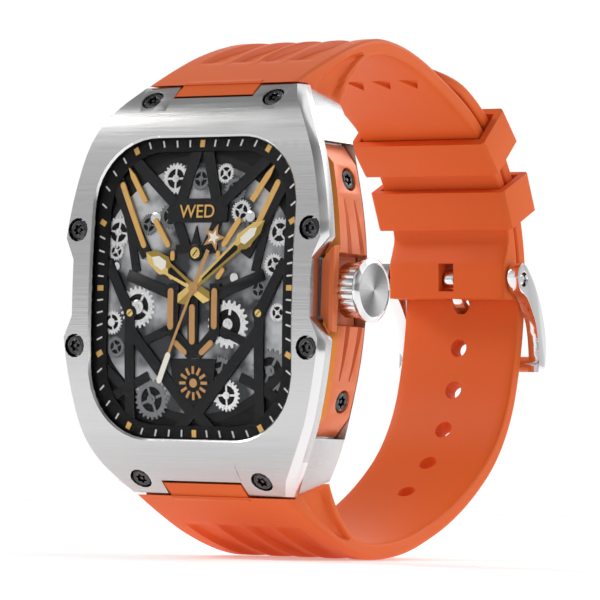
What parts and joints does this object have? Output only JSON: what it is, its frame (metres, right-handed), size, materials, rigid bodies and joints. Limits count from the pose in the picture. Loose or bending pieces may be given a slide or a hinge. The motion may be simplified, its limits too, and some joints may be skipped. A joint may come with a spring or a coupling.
{
  "type": "gps running watch",
  "caption": "Barrel-shaped smartwatch with a screwed metal bezel, coloured side inserts, a turn-and-press crown, and a closed rubber strap with keepers and a pin buckle.",
  "frame": {"origin": "middle of the flat face on the case back, where the watch rests on a wrist", "axes": "+Y out of the case back towards the strap's buckle, so the dial looks along -Y; +X towards the crown at three o'clock; +Z towards twelve o'clock"},
  "size_m": [0.0468, 0.0763, 0.073],
  "materials": {
    "brushed_steel": "fine brushed, satin",
    "black_steel": "black coated steel, satin",
    "orange_alloy": "orange anodised alloy, satin",
    "polished_steel": "polished steel",
    "orange_rubber": "soft-touch rubber, matt",
    "cover_glass": "clear sapphire glass",
    "black_rubber": "seal rubber",
    "black_plastic": "matt black plastic",
    "battery_pouch": "laminated foil",
    "antenna_ceramic": "unglazed dielectric ceramic",
    "circuit_board": "solder mask over laminate",
    "copper_foil": "copper alloy",
    "sensor_glass": "black tinted glass",
    "gold_plate": "gold plated"
  },
  "bodies": {
    "watch": {"bezel": "brushed_steel", "mid_case": "brushed_steel", "case_back": "brushed_steel", "crown_tube": "brushed_steel", "case_back_screw_1": "brushed_steel", "case_back_screw_2": "brushed_steel", "case_back_screw_3": "brushed_steel", "case_back_screw_4": "brushed_steel", "bezel_screw_1": "black_steel", "bezel_screw_2": "black_steel", "bezel_screw_3": "black_steel", "bezel_screw_4": "black_steel", "bezel_screw_5": "black_steel", "bezel_screw_6": "black_steel", "bezel_screw_7": "black_steel", "bezel_screw_8": "black_steel", "insert_screw_1": "black_steel", "insert_screw_2": "black_steel", "insert_screw_3": "black_steel", "insert_screw_4": "black_steel", "side_insert_right": "orange_alloy", "side_insert_left": "orange_alloy", "buckle_bar": "polished_steel", "lug_bar_top": "polished_steel", "lug_bar_bottom": "polished_steel", "strap_upper": "orange_rubber", "strap_lower": "orange_rubber", "cover_glass": "cover_glass", "glass_gasket": "black_rubber", "case_back_gasket": "black_rubber", "display_panel": "black_plastic", "inner_frame": "black_plastic", "speaker": "black_plastic", "battery": "battery_pouch", "vibration_motor": "battery_pouch", "gps_antenna": "antenna_ceramic", "main_board": "circuit_board", "sensor_board": "circuit_board", "crown_switch": "copper_foil", "sensor_window": "sensor_glass", "charge_pin_1": "gold_plate", "charge_pin_2": "gold_plate"},
    "crown_press": {"crown_clip": "polished_steel"},
    "crown_turn": {"crown": "polished_steel", "crown_shaft": "polished_steel", "crown_o_ring": "black_rubber"},
    "keeper_1": {"keeper_1": "orange_rubber"},
    "keeper_2": {"keeper_2": "orange_rubber"},
    "buckle": {"buckle_frame": "polished_steel"},
    "tang": {"tang": "polished_steel"}
  },
  "joints": [
    {"name": "crown_press_slide", "type": "slide", "parent": "watch", "child": "crown_press", "axis": [-1, 0, 0], "range_m": [0, 0.0006], "stiffness_N_per_m": 1500, "springref_m": -0.0006},
    {"name": "crown_turn_hinge", "type": "hinge", "parent": "crown_press", "child": "crown_turn", "pos_m": [0.0229, -0.0056, 0], "axis": [1, 0, 0], "continuous": true},
    {"name": "keeper_1_slide", "type": "hinge", "parent": "watch", "child": "keeper_1", "pos_m": [0, 0.02756, 0.00292], "axis": [1, 0, 0], "range_deg": [-3.5, 12]},
    {"name": "keeper_2_slide", "type": "hinge", "parent": "watch", "child": "keeper_2", "pos_m": [0, 0.02756, 0.00292], "axis": [1, 0, 0], "range_deg": [-3.5, 3.5]},
    {"name": "buckle_hinge", "type": "hinge", "parent": "watch", "child": "buckle", "pos_m": [0, 0.0557, 0.00484], "axis": [1, 0, 0], "range_deg": [0, 2]},
    {"name": "tang_hinge", "type": "hinge", "parent": "watch", "child": "tang", "pos_m": [0, 0.0557, 0.00484], "axis": [1, 0, 0], "range_deg": [0, 2]}
  ],
  "couplings": [
    {"joint": "tang_hinge", "follows": "buckle_hinge", "ratio": 1}
  ]
}
